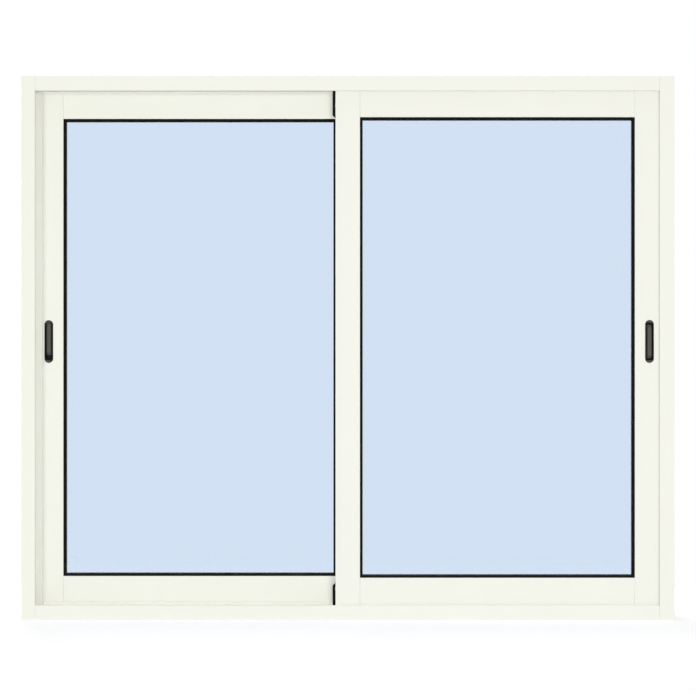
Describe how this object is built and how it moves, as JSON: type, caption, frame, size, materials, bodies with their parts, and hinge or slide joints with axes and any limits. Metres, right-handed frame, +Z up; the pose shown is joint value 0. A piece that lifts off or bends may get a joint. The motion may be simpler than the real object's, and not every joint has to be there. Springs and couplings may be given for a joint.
{
  "type": "horizontal sliding window",
  "caption": "Horizontal sliding window: white aluminium frame with double-glazed sashes that slide on rollers past each other, black gaskets and flush latches.",
  "frame": {"origin": "middle of the sill's underside", "axes": "+X to the right seen from the room, +Y from the room to the outside, +Z up"},
  "size_m": [1.2, 0.076, 1],
  "materials": {
    "powder_coated_aluminium": "ivory powder coat, satin",
    "clear_glass": "clear float glass",
    "spacer_bar": "mill finish",
    "black_rubber": "matt extruded rubber",
    "black_plastic": "matt moulded",
    "dark_plastic": "satin moulded",
    "zinc_steel": "zinc plated",
    "grey_nylon": "moulded nylon",
    "grey_pile": "woven pile"
  },
  "bodies": {
    "frame": {"left_jamb": "powder_coated_aluminium", "right_jamb": "powder_coated_aluminium", "head": "powder_coated_aluminium", "sill": "powder_coated_aluminium", "head_draught_block": "black_plastic", "sill_draught_block": "black_plastic"},
    "left_sash": {"left_sash_lock_stile": "powder_coated_aluminium", "left_sash_meeting_stile": "powder_coated_aluminium", "left_sash_top_rail": "powder_coated_aluminium", "left_sash_bottom_rail": "powder_coated_aluminium", "left_sash_panes": "clear_glass", "left_sash_spacer": "spacer_bar", "left_sash_gaskets": "black_rubber", "left_sash_interlock": "powder_coated_aluminium", "left_sash_interlock_hook": "powder_coated_aluminium", "left_sash_roller_housings": "zinc_steel", "left_sash_roller_wheels": "grey_nylon", "left_sash_top_guides": "grey_nylon", "left_sash_pile_seals": "grey_pile", "left_latch_cup": "black_plastic"},
    "right_sash": {"right_sash_lock_stile": "powder_coated_aluminium", "right_sash_meeting_stile": "powder_coated_aluminium", "right_sash_top_rail": "powder_coated_aluminium", "right_sash_bottom_rail": "powder_coated_aluminium", "right_sash_panes": "clear_glass", "right_sash_spacer": "spacer_bar", "right_sash_gaskets": "black_rubber", "right_sash_interlock": "powder_coated_aluminium", "right_sash_interlock_hook": "powder_coated_aluminium", "right_sash_roller_housings": "zinc_steel", "right_sash_roller_wheels": "grey_nylon", "right_sash_top_guides": "grey_nylon", "right_sash_pile_seals": "grey_pile", "right_latch_cup": "black_plastic"},
    "left_latch": {"left_latch_slider": "dark_plastic"},
    "right_latch": {"right_latch_slider": "dark_plastic"}
  },
  "joints": [
    {"name": "left_sash_slide", "type": "slide", "parent": "frame", "child": "left_sash", "axis": [1, 0, 0], "range_m": [0, 0.53]},
    {"name": "right_sash_slide", "type": "slide", "parent": "frame", "child": "right_sash", "axis": [-1, 0, 0], "range_m": [0, 0.53]},
    {"name": "left_latch_slide", "type": "slide", "parent": "left_sash", "child": "left_latch", "axis": [0, 0, 1], "range_m": [-0.011, 0]},
    {"name": "right_latch_slide", "type": "slide", "parent": "right_sash", "child": "right_latch", "axis": [0, 0, 1], "range_m": [-0.0055, 0.0055]}
  ]
}
